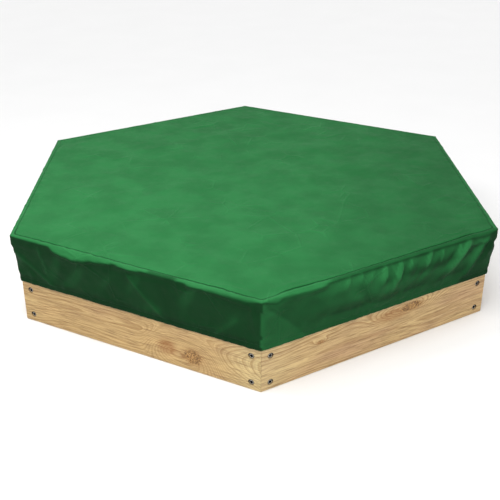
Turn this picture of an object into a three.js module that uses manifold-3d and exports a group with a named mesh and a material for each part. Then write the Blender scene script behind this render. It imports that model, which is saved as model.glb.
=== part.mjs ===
// A hexagonal timber sandbox with a fitted fabric cover.
//
// Six walls of two stacked boards meet in mitred corners, where they are bolted to corner posts. A ring of
// mitred seat boards lies on top and overhangs the walls a little. The cover is a hexagonal top panel with
// a skirt of six panels, drawn in under the overhang by the elastic in its hem.
//
// Millimetres, +Z up. The origin is on the ground at the centre of the hexagon, one corner points along -Y,
// and two of the walls face +X and -X.

import * as THREE from "three";
import { mergeVertices } from "three/addons/utils/BufferGeometryUtils.js";
import Module from "manifold-3d";

const manifold = await Module();
manifold.setup();

// ---------------------------------------------------------------- driving dimensions

const WALL_LENGTH = 900; // outer face, corner to corner: also the radius of the outer corners
const BOARD_HEIGHT = 145;
const BOARD_THICKNESS = 28;
const BOARD_CHAMFER = 2.5;
const CONTACT_GAP = 0.4; // between faces that rest on each other

const SEAT_WIDTH = 145;
const SEAT_THICKNESS = 28;
const SEAT_OVERHANG = 16; // beyond the outer face of the walls
const SEAT_CHAMFER = 4;

const POST_FACE = 58; // along each wall, from the inner corner
const POST_DEPTH = 38; // square to each wall
const POST_GROUND_CLEARANCE = 2;

const BOLT_INSET = 33; // from the outer corner, along the outer face
const BOLT_EDGE = 26; // from the top and bottom edges of a board
const BOLT_HEAD_RADIUS = 7;
const BOLT_HEAD_HEIGHT = 4.8;
const BOLT_HEAD_ROUNDING = 1;
const BOLT_RADIUS = 4;
const BOLT_LENGTH = 38; // under the head
const BOLT_TIP_CHAMFER = 1;
const SOCKET_RADIUS = 3.5; // to the corners of the hexagon socket
const SOCKET_DEPTH = 3;
const HOLE_CLEARANCE = 0.4; // between a bolt and its hole
const COUNTERBORE_RADIUS = 9;
const COUNTERBORE_DEPTH = 7.5;

const FABRIC = 2; // thickness of the cover's panels
const COVER_SLACK = 1.2; // between the skirt and the outer edge of the seats
const HEM_STANDOFF = 5.5; // between the skirt and the wall at the hem
const HEM_LIFT = 2; // above the lower boards' top edge
const ELASTIC_THICKNESS = 2.2;
const ELASTIC_WIDTH = 12;
const ELASTIC_STANDOFF = 1.5; // between the elastic and the wall

const LINER = 1; // thickness of the ground sheet

const ROUND_SEGMENTS = 12;

// ---------------------------------------------------------------- derived sizes

const SIDES = 6;
const HALF_TURN = Math.PI / SIDES; // from a wall's middle to a corner
const MITRE_SLOPE = Math.tan(HALF_TURN);
const WALL_APOTHEM = WALL_LENGTH / 2 / MITRE_SLOPE;
const WALL_INNER = WALL_APOTHEM - BOARD_THICKNESS;
const SEAT_APOTHEM = WALL_APOTHEM + SEAT_OVERHANG;

const UPPER_BOARD_Z = BOARD_HEIGHT + CONTACT_GAP;
const WALL_TOP = UPPER_BOARD_Z + BOARD_HEIGHT;
const SEAT_Z = WALL_TOP + CONTACT_GAP;
const SEAT_TOP = SEAT_Z + SEAT_THICKNESS;

const HEM_Z = BOARD_HEIGHT + HEM_LIFT;
const HEM_INNER = WALL_APOTHEM + HEM_STANDOFF;
const SKIRT_TOP_INNER = SEAT_APOTHEM + COVER_SLACK;
const TOP_PANEL_Z = SEAT_TOP + CONTACT_GAP;

const BOLT_Y = WALL_LENGTH / 2 - BOLT_INSET;
const BOLT_SEAT_X = WALL_APOTHEM - COUNTERBORE_DEPTH;
const BOLT_HEIGHTS = [BOLT_EDGE, BOARD_HEIGHT - BOLT_EDGE];

// Wall i lies between corner i and corner i + 1, counted round from the front corner.
const WALL_NAMES = ["front_right", "right", "back_right", "back_left", "left", "front_left"];
const CORNER_NAMES = ["front", "right_front", "right_back", "back", "left_back", "left_front"];
const FRONT = -Math.PI / 2;
const cornerAngle = (i) => FRONT + i * 2 * HALF_TURN;
const wallAngle = (i) => cornerAngle(i) + HALF_TURN;

// ---------------------------------------------------------------- materials

const finish = (color, roughness, metalness = 0) =>
  new THREE.MeshStandardMaterial({ color, roughness, metalness });

const timber = finish(0xcfa873, 0.65);
const steel = finish(0x6d6862, 0.35, 0.9);
const topFabric = finish(0x388750, 0.5);
const skirtFabric = finish(0x1e4a2a, 0.5);
const elastic = finish(0x16321f, 0.9);
const groundSheet = finish(0x2b2c2b, 0.85);

// ---------------------------------------------------------------- geometry helpers

const point = (x, y) => new THREE.Vector2(x, y);

function solid(geometry) {
  const bare = geometry.clone();
  for (const name of ["normal", "uv"]) bare.deleteAttribute(name);
  const merged = mergeVertices(bare, 1e-3);
  return new manifold.Manifold(
    new manifold.Mesh({
      numProp: 3,
      vertProperties: merged.getAttribute("position").array,
      triVerts: new Uint32Array(merged.index.array),
    }),
  );
}

function cut(geometry, tools) {
  let left = solid(geometry);
  for (const tool of tools) left = left.subtract(solid(tool));
  const { vertProperties, triVerts } = left.getMesh();
  const result = new THREE.BufferGeometry();
  result.setAttribute("position", new THREE.BufferAttribute(vertProperties, 3));
  result.setIndex(new THREE.BufferAttribute(triVerts, 1));
  result.computeVertexNormals();
  return result;
}

// A rectangle with its four corners chamfered.
function chamferedSection(x0, z0, x1, z1, chamfer) {
  return new THREE.Shape([
    point(x0 + chamfer, z0),
    point(x1 - chamfer, z0),
    point(x1, z0 + chamfer),
    point(x1, z1 - chamfer),
    point(x1 - chamfer, z1),
    point(x0 + chamfer, z1),
    point(x0, z1 - chamfer),
    point(x0, z0 + chamfer),
  ]);
}

// A bar along Y whose section stands in XZ, with X measured from the centre of the hexagon.
// Both ends are cut on the planes through the centre and the corners.
function mitredBar(section) {
  const bar = new THREE.ExtrudeGeometry(section, { depth: 1, bevelEnabled: false });
  bar.rotateX(Math.PI / 2);
  bar.translate(0, 0.5, 0);
  const position = bar.getAttribute("position");
  for (let i = 0; i < position.count; i += 1) {
    const end = Math.sign(position.getY(i));
    position.setY(i, end * (position.getX(i) * MITRE_SLOPE - CONTACT_GAP));
  }
  return bar;
}

// A hexagon with a corner on -Y, as an outline for a shape or a hole.
function hexagon(apothem) {
  const radius = apothem / Math.cos(HALF_TURN);
  return Array.from({ length: SIDES }, (_, i) =>
    point(radius * Math.cos(cornerAngle(i)), radius * Math.sin(cornerAngle(i))),
  );
}

function plate(shape, z, thickness) {
  return new THREE.ExtrudeGeometry(shape, { depth: thickness, bevelEnabled: false }).translate(0, 0, z);
}

// A turned shape whose axis lies along +X, from a profile of [radius, distance along the axis] pairs.
function turned(profile) {
  const outline = profile.map(([radius, along]) => point(radius, along));
  return new THREE.LatheGeometry(outline, ROUND_SEGMENTS).rotateZ(-Math.PI / 2);
}

// ---------------------------------------------------------------- scene assembly

const sandbox = new THREE.Group();

function place(parent, name, geometry, material) {
  const mesh = new THREE.Mesh(geometry, material);
  mesh.name = name;
  parent.add(mesh);
  return mesh;
}

function turnedGroup(angle) {
  const group = new THREE.Group();
  group.rotation.z = angle;
  sandbox.add(group);
  return group;
}

// ---------------------------------------------------------------- walls

// The drilling for one bolt through a board, with its mouth at x = 0 and running along -X.
function boltDrilling() {
  const hole = BOLT_RADIUS + HOLE_CLEARANCE;
  return turned([
    [0, -BOARD_THICKNESS - 1],
    [hole, -BOARD_THICKNESS - 1],
    [hole, -COUNTERBORE_DEPTH],
    [COUNTERBORE_RADIUS, -COUNTERBORE_DEPTH],
    [COUNTERBORE_RADIUS, 1],
    [0, 1],
  ]);
}

function board(z) {
  const section = chamferedSection(WALL_INNER, z, WALL_APOTHEM, z + BOARD_HEIGHT, BOARD_CHAMFER);
  const drillings = BOLT_HEIGHTS.flatMap((height) =>
    [-BOLT_Y, BOLT_Y].map((y) => boltDrilling().translate(WALL_APOTHEM, y, z + height)),
  );
  return cut(mitredBar(section), drillings);
}

// A hexagon-socket bolt, with the underside of its head at x = 0 and its shank along -X.
function bolt() {
  const body = turned([
    [0, -BOLT_LENGTH],
    [BOLT_RADIUS - BOLT_TIP_CHAMFER, -BOLT_LENGTH],
    [BOLT_RADIUS, -BOLT_LENGTH + BOLT_TIP_CHAMFER],
    [BOLT_RADIUS, 0],
    [BOLT_HEAD_RADIUS, 0],
    [BOLT_HEAD_RADIUS, BOLT_HEAD_HEIGHT - BOLT_HEAD_ROUNDING],
    [BOLT_HEAD_RADIUS - BOLT_HEAD_ROUNDING, BOLT_HEAD_HEIGHT],
    [0, BOLT_HEAD_HEIGHT],
  ]);
  const socket = new THREE.CylinderGeometry(SOCKET_RADIUS, SOCKET_RADIUS, 2 * SOCKET_DEPTH, 6);
  return cut(body, [socket.rotateZ(Math.PI / 2).translate(BOLT_HEAD_HEIGHT, 0, 0)]);
}

const boltGeometry = bolt();

function addWall(index) {
  const name = WALL_NAMES[index];
  const wall = turnedGroup(wallAngle(index));
  place(wall, `lower_board_${name}`, board(0), timber);
  place(wall, `upper_board_${name}`, board(UPPER_BOARD_Z), timber);

  const corners = [CORNER_NAMES[index], CORNER_NAMES[(index + 1) % SIDES]];
  const levels = ["low", "high"];
  corners.forEach((corner, end) => {
    levels.forEach((level, row) => {
      const mesh = place(wall, `bolt_${name}_at_${corner}_${level}`, boltGeometry, steel);
      mesh.position.set(BOLT_SEAT_X + HOLE_CLEARANCE, end === 0 ? -BOLT_Y : BOLT_Y, BOLT_HEIGHTS[row]);
    });
  });
}

// ---------------------------------------------------------------- corner posts

// The post's outline, with the corner of the hexagon along +X: a face along each wall, and a flat back.
function postOutline() {
  const corner = point(WALL_INNER / Math.cos(HALF_TURN) - 2 * CONTACT_GAP, 0);
  const side = (sign) => {
    const alongWall = point(Math.cos(4 * HALF_TURN), sign * Math.sin(4 * HALF_TURN));
    const inwards = point(-Math.cos(HALF_TURN), -sign * Math.sin(HALF_TURN));
    const faceEnd = corner.clone().addScaledVector(alongWall, POST_FACE);
    return [faceEnd, faceEnd.clone().addScaledVector(inwards, POST_DEPTH)];
  };
  const [faceEnd, back] = side(1);
  const [otherFaceEnd, otherBack] = side(-1);
  return new THREE.Shape([corner, faceEnd, back, otherBack, otherFaceEnd]);
}

// Blind holes for the bolts of the two walls that meet at the corner.
function postDrillings() {
  const shankEnd = BOLT_SEAT_X - BOLT_LENGTH - 1;
  const length = WALL_INNER + 1 - shankEnd;
  const hole = BOLT_RADIUS + HOLE_CLEARANCE;
  const drillings = [];
  for (const boardZ of [0, UPPER_BOARD_Z]) {
    for (const height of BOLT_HEIGHTS) {
      for (const wallSide of [-1, 1]) {
        const drilling = turned([
          [0, 0],
          [hole, 0],
          [hole, length],
          [0, length],
        ]);
        drilling.translate(shankEnd, -wallSide * BOLT_Y, boardZ + height);
        drillings.push(drilling.rotateZ(wallSide * HALF_TURN));
      }
    }
  }
  return drillings;
}

function addPost(index) {
  const height = WALL_TOP - POST_GROUND_CLEARANCE;
  const geometry = cut(plate(postOutline(), POST_GROUND_CLEARANCE, height), postDrillings());
  place(turnedGroup(cornerAngle(index)), `post_${CORNER_NAMES[index]}`, geometry, timber);
}

// ---------------------------------------------------------------- seats

function addSeat(index) {
  const inner = SEAT_APOTHEM - SEAT_WIDTH;
  const section = chamferedSection(inner, SEAT_Z, SEAT_APOTHEM, SEAT_TOP, SEAT_CHAMFER);
  place(turnedGroup(wallAngle(index)), `seat_${WALL_NAMES[index]}`, mitredBar(section), timber);
}

// ---------------------------------------------------------------- ground sheet and cover

function addLiner() {
  const outline = new THREE.Shape(hexagon(WALL_INNER - CONTACT_GAP));
  place(sandbox, "ground_liner", plate(outline, 0, LINER), groundSheet);
}

function addTopPanel() {
  const outline = new THREE.Shape(hexagon(SKIRT_TOP_INNER + FABRIC));
  place(sandbox, "cover_top", plate(outline, TOP_PANEL_Z, FABRIC), topFabric);
}

function addSkirtPanel(index) {
  const topZ = TOP_PANEL_Z - CONTACT_GAP;
  const section = new THREE.Shape([
    point(HEM_INNER, HEM_Z),
    point(HEM_INNER + FABRIC, HEM_Z),
    point(SKIRT_TOP_INNER + FABRIC, SEAT_Z),
    point(SKIRT_TOP_INNER + FABRIC, topZ),
    point(SKIRT_TOP_INNER, topZ),
    point(SKIRT_TOP_INNER, SEAT_Z),
  ]);
  const name = `cover_skirt_${WALL_NAMES[index]}`;
  place(turnedGroup(wallAngle(index)), name, mitredBar(section), skirtFabric);
}

function addHemElastic() {
  const inner = WALL_APOTHEM + ELASTIC_STANDOFF;
  const band = new THREE.Shape(hexagon(inner + ELASTIC_THICKNESS));
  band.holes.push(new THREE.Path(hexagon(inner)));
  place(sandbox, "hem_elastic", plate(band, HEM_Z + 1, ELASTIC_WIDTH), elastic);
}

addLiner();
for (let i = 0; i < SIDES; i += 1) {
  addWall(i);
  addPost(i);
  addSeat(i);
  addSkirtPanel(i);
}
addTopPanel();
addHemElastic();

export default sandbox;
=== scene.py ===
"""The looks of a hexagonal timber sandbox under its fitted fabric cover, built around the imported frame."""

import functools
import math

import bmesh
import bpy
import numpy as np
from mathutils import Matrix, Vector
from mathutils.bvhtree import BVHTree


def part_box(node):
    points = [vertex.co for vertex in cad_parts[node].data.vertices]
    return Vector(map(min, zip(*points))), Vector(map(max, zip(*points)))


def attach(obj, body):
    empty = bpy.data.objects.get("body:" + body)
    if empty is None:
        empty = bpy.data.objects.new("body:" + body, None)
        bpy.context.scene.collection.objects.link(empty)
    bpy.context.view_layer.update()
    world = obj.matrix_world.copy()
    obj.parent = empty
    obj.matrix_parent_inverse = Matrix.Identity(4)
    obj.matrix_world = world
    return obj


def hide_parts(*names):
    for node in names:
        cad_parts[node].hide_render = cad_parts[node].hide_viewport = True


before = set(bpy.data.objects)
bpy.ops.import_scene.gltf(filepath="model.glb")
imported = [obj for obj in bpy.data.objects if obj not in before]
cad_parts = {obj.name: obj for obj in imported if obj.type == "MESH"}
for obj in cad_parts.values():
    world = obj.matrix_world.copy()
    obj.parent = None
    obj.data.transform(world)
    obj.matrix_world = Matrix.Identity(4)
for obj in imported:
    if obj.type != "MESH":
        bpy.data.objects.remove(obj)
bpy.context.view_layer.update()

# ---------------- sizes in metres, from the frame

SIDES = 6
HALF_TURN = math.pi / SIDES
WALLS = ["front_right", "right", "back_right", "back_left", "left", "front_left"]
FRONT_RIGHT, RIGHT, BACK_RIGHT, BACK_LEFT, LEFT, FRONT_LEFT = range(SIDES)
CORNERS = ["front", "right_front", "right_back", "back", "left_back", "left_front"]

BOARD_LOW, BOARD_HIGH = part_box("lower_board_right")
WALL_INNER, WALL_APOTHEM, BOARD_TOP = BOARD_LOW.x, BOARD_HIGH.x, BOARD_HIGH.z
UPPER_BOARD_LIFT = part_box("upper_board_right")[0].z - BOARD_LOW.z
SEAT_LOW, SEAT_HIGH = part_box("seat_right")
SEAT_INNER, SEAT_APOTHEM = SEAT_LOW.x, SEAT_HIGH.x
SEAT_UNDERSIDE, SEAT_TOP = SEAT_LOW.z, SEAT_HIGH.z
BOLT_INNER, BOLT_OUTER = (corner.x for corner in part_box("bolt_right_at_right_back_low"))
LOW_BOLT = 0.5 * sum(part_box("bolt_right_at_right_back_low"), Vector())
HIGH_BOLT = 0.5 * sum(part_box("bolt_right_at_right_back_high"), Vector())
RECESS_RADIUS = 0.009


def wall_angle(wall):
    """The direction that a wall faces, counted round from the front right one."""
    return -math.pi / 3 + wall * math.pi / 3


def on_wall(wall, apothem, along, height):
    """The place that is so far out, along and up on a wall."""
    cos, sin = math.cos(wall_angle(wall)), math.sin(wall_angle(wall))
    return apothem * cos - along * sin, apothem * sin + along * cos, height


# ---------------- camera

CAMERA_AZIMUTH = math.radians(-1.76)
CAMERA_ELEVATION = math.radians(26.61)
CAMERA_DISTANCE = 3.354
CAMERA_TARGET = Vector((-0.0048, 0, 0.0239))
CAMERA_LENS = 62.0


def linked_object(name, data):
    thing = bpy.data.objects.new(name, data)
    bpy.context.scene.collection.objects.link(thing)
    return thing


def aim(thing, way):
    thing.rotation_euler = way.to_track_quat("-Z", "Y").to_euler()


def add_camera():
    turn, tilt = CAMERA_AZIMUTH, CAMERA_ELEVATION
    back = Vector((math.sin(turn) * math.cos(tilt), -math.cos(turn) * math.cos(tilt), math.sin(tilt)))
    data = bpy.data.cameras.new("camera")
    data.lens = CAMERA_LENS
    camera = linked_object("camera", data)
    camera.location = CAMERA_TARGET + back * CAMERA_DISTANCE
    aim(camera, -back)
    bpy.context.scene.camera = camera


# ---------------- mesh helpers


def new_mesh(name, points, faces, materials=()):
    data = bpy.data.meshes.new(name)
    data.from_pydata(np.asarray(points, float).tolist(), [], [tuple(map(int, f)) for f in faces])
    for material in materials:
        data.materials.append(material)
    data.shade_smooth()
    return data


def mesh_object(name, points, faces, materials=()):
    return linked_object(name, new_mesh(name, points, faces, materials))


def positions(data, kind="co"):
    values = np.zeros(len(data.vertices) * 3, np.float32)
    data.vertices.foreach_get(kind, values)
    return values.reshape(-1, 3).astype(float)


def set_attribute(data, name, values):
    data.attributes.new(name, "FLOAT", "POINT").data.foreach_set("value", values.astype(np.float32))


def evaluated_mesh(piece):
    """A copy of the piece's mesh with its modifiers applied."""
    graph = bpy.context.evaluated_depsgraph_get()
    return bpy.data.meshes.new_from_object(piece.evaluated_get(graph))


def thicken(piece, thickness):
    """Gives a sheet its thickness, inwards from its outer face."""
    shell = piece.modifiers.new("thickness", "SOLIDIFY")
    shell.thickness = thickness
    shell.offset = -1


def ripples(points, wavelength, seed, waves=28):
    """A smooth random field over the points, with a mean of 0 and a spread of 1."""
    draw = np.random.default_rng(seed)
    numbers = draw.normal(size=(waves, points.shape[1]))
    numbers /= np.linalg.norm(numbers, axis=1)[:, None]
    numbers *= (2 * math.pi / wavelength * draw.uniform(0.65, 1.45, waves))[:, None]
    phases = draw.uniform(0, 2 * math.pi, waves)
    return np.sin(points @ numbers.T + phases).sum(1) / math.sqrt(waves / 2)


def smooth_step(value, low, high):
    share = np.clip((value - low) / (high - low), 0, 1)
    return share * share * (3 - 2 * share)


def window(value, low, high, fade):
    """1 between low and high, fading to 0 outside them."""
    return smooth_step(value, low - fade, low) * (1 - smooth_step(value, high, high + fade))


def bell(value, half_width):
    return np.exp(-((value / half_width) ** 2))


def softly_above(value, least, soft):
    """The value, eased so that it stays above the least one."""
    return least + soft * np.log1p(np.exp(np.clip((value - least) / soft, -30, 30)))


def hexagon_ring(per_side):
    """Points round a hexagon with an apothem of 1 and a corner on -Y."""
    step = np.arange(SIDES * per_side)
    start = -math.pi / 2 + (step // per_side) * 2 * HALF_TURN
    share = (step % per_side) / per_side
    near = np.stack([np.cos(start), np.sin(start)], 1)
    far = np.stack([np.cos(start + 2 * HALF_TURN), np.sin(start + 2 * HALF_TURN)], 1)
    return (near + (far - near) * share[:, None]) / math.cos(HALF_TURN)


def level_ring(unit, apothem, height):
    return np.c_[unit * apothem, np.full(len(unit), height)]


def hexagon_lattice(spacing, rings):
    """Points that fill a hexagon, ring by ring from its middle, and the apothem that each lies at."""
    points = [np.zeros((1, 2))] + [hexagon_ring(ring) * (spacing * ring) for ring in range(1, rings + 1)]
    apothems = [spacing * ring for ring, row in enumerate(points) for _ in row]
    return np.concatenate(points), np.array(apothems)


def lattice_faces(rings):
    """Quads over a lattice's points. Three rhombuses of quads meet at the middle."""

    def point_number(third, i, j):
        ring = max(i, j)
        if ring == 0:
            return 0
        step = 2 * third * ring + j if i >= j else (2 * third + 1) * ring + j - i
        return 1 + 3 * ring * (ring - 1) + step % (SIDES * ring)

    return [
        [point_number(third, i + a, j + b) for a, b in ((0, 0), (1, 0), (1, 1), (0, 1))]
        for third in range(3) for i in range(rings) for j in range(rings)
    ]


def band_faces(rows, around, first=0, closed=False):
    """Quads between closed rings of points, each ring below or outside the last one."""
    faces = []
    for row in range(rows if closed else rows - 1):
        for step in range(around):
            after = (step + 1) % around
            a, b = first + row * around, first + (row + 1) % rows * around
            faces.append((a + step, b + step, b + after, a + after))
    return faces


# ---------------- material helpers


def operation(kind):
    """A method that puts its values through a Math node of that kind."""
    return lambda *values: values[0].nodes.add("Math", dict(enumerate(values)), operation=kind)


class Value:
    """A node's output. Arithmetic on it adds Math nodes."""

    def __init__(self, nodes, socket):
        self.nodes, self.socket = nodes, socket

    __add__, __sub__, __mul__, __truediv__ = map(operation, ("ADD", "SUBTRACT", "MULTIPLY", "DIVIDE"))
    __abs__, root, sine, fraction = map(operation, ("ABSOLUTE", "SQRT", "SINE", "FRACT"))
    sign, most = map(operation, ("SIGN", "MAXIMUM"))

    def scaled(self, low, high, to_low=0.0, to_high=1.0):
        """Runs smoothly from to_low, where the value is low, to to_high, where it is high."""
        numbers = dict(enumerate((self, low, high, to_low, to_high)))
        return self.nodes.add("MapRange", numbers, interpolation_type="SMOOTHSTEP")

    def wave(self, pitch):
        """A sine wave along the value."""
        return (self * (2 * math.pi / pitch)).sine()


class Nodes:
    """A material's node tree, or a world's, built one node at a time in front of its shader."""

    def __init__(self, owner, shader="Principled BSDF", place="Object"):
        owner.use_nodes = True
        self.owner, self.tree = owner, owner.node_tree
        self.shader = self.tree.nodes[shader]
        self.place = self.add("TexCoord", {}, place)

    def set(self, socket, value):
        if isinstance(value, Value):
            self.tree.links.new(value.socket, socket)
        elif socket.type == "RGBA" and len(value) == 3:
            socket.default_value = (*value, 1)
        else:
            socket.default_value = value

    def surface(self, **values):
        for name, value in values.items():
            self.set(self.shader.inputs[name.replace("_", " ").title().replace("Ior", "IOR")], value)
        return self.owner

    def add(self, kind, inputs, output=0, **settings):
        """Adds a node, and returns one of its outputs."""
        node = self.tree.nodes.new("ShaderNode" + kind)
        for name, value in settings.items():
            setattr(node, name, value)
        for name, value in inputs.items():
            self.set(node.inputs[name], value)
        return Value(self, node.outputs[output])

    def split(self, vector):
        outputs = self.add("SeparateXYZ", {0: vector}).socket.node.outputs
        return [Value(self, output) for output in outputs]

    def mix(self, factor, a, b, blend="MIX"):
        return self.add("Mix", {0: factor, 6: a, 7: b}, 2, data_type="RGBA", blend_type=blend)

    def tint(self, factor, colour, by):
        """The colour, multiplied by another as far as the factor says."""
        return self.mix(factor, colour, by, "MULTIPLY")

    def noise(self, vector, scale, detail=3.0, roughness=0.5, distortion=0.0):
        values = {"Vector": vector, "Scale": scale, "Detail": detail, "Roughness": roughness}
        return self.add("TexNoise", {**values, "Distortion": distortion})

    def bump(self, height, distance, strength=1.0, **normal):
        return self.add("Bump", {"Height": height, "Distance": distance, "Strength": strength, **normal})


def material_nodes(name):
    return Nodes(bpy.data.materials.new(name))


# ---------------- timber

WOOD_PALE = (0.545, 0.382, 0.166)
WOOD_MID = (0.33, 0.195, 0.072)
WOOD_DARK = (0.17, 0.090, 0.034)
WOOD_ARRIS_HIGHLIGHT = (0.74, 0.58, 0.36)
PINK_TINT = (0.94, 0.84, 1.00)
PALE_TINT = (1.16, 1.16, 1.18)
PALER_END_TINT = (1.09, 1.22, 1.34)
KNOT_RED = (0.240, 0.088, 0.021)
KNOT_BROWN = (0.085, 0.032, 0.007)
KNOT_GOLD = (0.420, 0.235, 0.075)
RECESS_SHADOW_BLACK = (0.004, 0.003, 0.002)
RING_SPACING = 0.0100
NOISE_STEP = 7.3  # between one board's stretch of the noise and the next one's


def timber(name, angle, axes, seed, edges=None, sides=None, knots=(), redness=0.0, bolted=False, flare=None,
           paler_end=None):
    """Planed timber. axes name the board's own axes, after a turn by angle about Z: the grain runs along the
    first, and the growth rings curve in the other two. edges and sides are where the board's faces lie on
    those two, and the wood is painted paler along the arrises, as a painted highlight. A knot is (along,
    across, radius, stretch, how dark its middle is). flare is (along, across, slope): past it the rings close
    into nested points. The last argument, (from, to, how pale at from, how pale at to), makes the wood a
    paler, cooler tone along the board. bolted paints shadow round the bolts' heads."""
    wood = material_nodes(name)
    local = wood.split(wood.add("Mapping", {"Vector": wood.place, "Rotation": (0, 0, -angle)}))
    u, v, w = (local["XYZ".index(axis)] for axis in axes)
    shift = NOISE_STEP * seed

    def at(x, y, z):
        return wood.add("CombineXYZ", {0: x, 1: y, 2: z})

    def streaks(along_scale, across_scale, detail=2.0, roughness=0.5, offset=0.0):
        """Noise drawn out along the grain."""
        place = at(u * along_scale + (shift + offset), v * across_scale, w * across_scale)
        return wood.noise(place, 1.0, detail, roughness)

    # slow wander of the log's centre, and the rings round it
    wander = streaks(1.6, 4.0) * 0.15 - 0.075
    tremble = streaks(9.0, 34.0, 3.0, 0.55, 3.0) * 0.010 - 0.005
    draw = np.random.default_rng(seed)
    middle = 0.5 * (edges[0] + edges[1]) if edges else 0.0
    heart = flare[1] if flare else middle + float(draw.uniform(-0.035, 0.035))
    depth = float(draw.uniform(0.015, 0.035))
    rise = v - heart + wander
    taper = float(draw.uniform(0.02, 0.06)) * (1 if draw.uniform() < 0.5 else -1)
    rings = u * taper + ((rise * rise + depth * depth).root() + tremble)
    if flare:
        rings = (u - flare[0]).most(0.0) * flare[2] + rings

    # the rings part round a knot, and turn about its own middle
    stains, cores = [], []
    for knot_along, knot_across, radius, stretch, heart_shade in knots:
        du, dv = (u - knot_along) / stretch, v - knot_across
        apart = tremble * 0.9 + (du * du + dv * dv).root()
        rings = apart.scaled(0.0, 4.2 * radius, 1.0, 0.0) * (3.6 * radius) + rings
        stains.append(apart.scaled(0.5 * radius, 1.9 * radius, 1 - 0.40 * heart_shade, 0.0))
        cores.append(apart.scaled(0.8 * radius, 1.3 * radius, heart_shade, 0.0))

    def late_wood(turns, low, high, end):
        """The dark part of each year's ring, which comes on slowly and ends sharply."""
        year = turns.fraction()
        return year.scaled(low, high) * year.scaled(end, 1.0, 1.0, 0.0)

    turns = rings / RING_SPACING
    group = wood.noise(at(turns * 0.31, shift, 0.0), 1.0, 2.0)
    late = late_wood(turns, 0.36, 0.86, 0.90) * group.scaled(0.3, 0.68, 0.35, 1.0)
    fine_late = late_wood(turns * 2.63, 0.2, 0.8, 0.85)
    bands = streaks(5.0, 95.0, 3.0, 0.6, 11.0)
    lines = streaks(15.0, 300.0, 3.0, 0.6, 31.0)
    fibres = streaks(14.0, 620.0, 3.0, 0.65, 5.0)
    pores = streaks(34.0, 480.0, 2.0, 0.5, 17.0).scaled(0.60, 0.72) * bands.scaled(0.35, 0.6, 0.25, 1.0)
    blotches = streaks(3.0, 9.0, 3.0, 0.55, 23.0)

    colour = wood.mix(late * 0.92, WOOD_PALE, WOOD_MID)
    colour = wood.mix(fine_late * 0.32, colour, WOOD_MID)
    colour = wood.mix(bands.scaled(0.46, 0.74, 0.0, 0.38), colour, WOOD_DARK)
    colour = wood.mix(lines.scaled(0.48, 0.68, 0.0, 0.62), colour, WOOD_DARK)
    colour = wood.mix(fibres.scaled(0.42, 0.8, 0.0, 0.35), colour, WOOD_DARK)
    colour = wood.tint(blotches.scaled(0.42, 0.72, 0.0, 0.45 + redness), colour, PINK_TINT)
    colour = wood.tint(blotches.scaled(0.28, 0.46, 0.8, 0.0), colour, PALE_TINT)
    colour = wood.mix(pores * 0.55, colour, WOOD_DARK)
    colour = wood.tint(redness, colour, PINK_TINT)
    if paler_end:
        # a paler, cooler tone towards one end of the board
        colour = wood.tint(u.scaled(*paler_end), colour, PALER_END_TINT)
    if knots:
        texture = bands.scaled(0.3, 0.6, 0.65, 1.0) * lines.scaled(0.4, 0.58, 0.5, 1.0)
        colour = wood.mix(functools.reduce(Value.most, stains) * texture, colour, KNOT_RED)
        cracked = wood.noise(wood.place, 150.0, 3.0, 0.65, 1.5).scaled(0.46, 0.56)
        share = functools.reduce(Value.most, cores) * late.scaled(0.1, 0.6, 0.75, 1.0)
        colour = wood.mix(share, colour, wood.mix(cracked, KNOT_BROWN, KNOT_GOLD))
    if edges:
        # painted highlight: the wood is painted paler along the arrises
        ridge_light = []
        for place, (low, high) in ((v, edges), (w, sides)):
            half = 0.5 * (high - low)
            ridge_light.append(abs(place - 0.5 * (low + high)).scaled(half - 0.0042, half - 0.0012))
        colour = wood.mix(ridge_light[0] * ridge_light[1] * 0.55, colour, WOOD_ARRIS_HIGHLIGHT)
    if bolted:
        # painted shadow: the recess round each bolt's head, and the face just past its rim, are painted near
        # black, most at its top
        beside = v - (edges[0] + 0.5 * (LOW_BOLT.z + HIGH_BOLT.z))
        above = (abs(beside) - 0.5 * (HIGH_BOLT.z - LOW_BOLT.z)) * beside.sign()
        aside = abs(u) - LOW_BOLT.y
        apart = (aside * aside + above * above).root()
        inside = apart.scaled(RECESS_RADIUS + 0.0006, RECESS_RADIUS + 0.0026, 1.0, 0.0)
        sunk = w.scaled(WALL_APOTHEM - 0.0006, WALL_APOTHEM - 0.0001, 1.0, 0.9)
        colour = wood.mix(inside * sunk * above.scaled(-0.004, 0.003, 0.35, 1.0), colour, RECESS_SHADOW_BLACK)

    relief = late * -0.5 + fibres * 0.5 - pores * 0.6
    return wood.surface(
        base_color=colour,
        roughness=fibres.scaled(0.2, 0.8, 0.50, 0.68),
        specular_ior_level=0.3,
        normal=wood.bump(relief, 0.0006, 0.8),
    )


# How the two front lower boards look. The other boards draw their own knots.
FRONT_LOOKS = {
    FRONT_LEFT: {
        "knots": [(0.214, 0.050, 0.024, 1.30, 0.95), (0.120, 0.062, 0.022, 1.2, 0.05)],
        "flare": (0.29, 0.085, -0.42),
        "paler_end": (0.27, 0.44, 0.0, 1.0),
    },
    FRONT_RIGHT: {
        "knots": [
            (0.125, 0.121, 0.013, 3.4, 1.0),
            (0.045, 0.112, 0.014, 3.6, 0.1),
            (-0.235, 0.105, 0.005, 2.6, 0.5),
        ],
        "paler_end": (-0.44, -0.27, 0.85, 0.3),
    },
}
KNOT_RANGES = [(0.004, 0.010), (1.2, 2.2), (0.5, 1.0)]  # of radius, stretch and darkness


def drawn_knots(seed, low, high):
    draw = np.random.default_rng(100 + seed)
    ranges = [(-0.38, 0.38), (low + 0.02, high - 0.02), *KNOT_RANGES]
    return [tuple(float(draw.uniform(*ends)) for ends in ranges) for _ in range(int(draw.integers(0, 3)))]


def paint(node, material):
    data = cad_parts[node].data
    data.materials.clear()
    data.materials.append(material)


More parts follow.
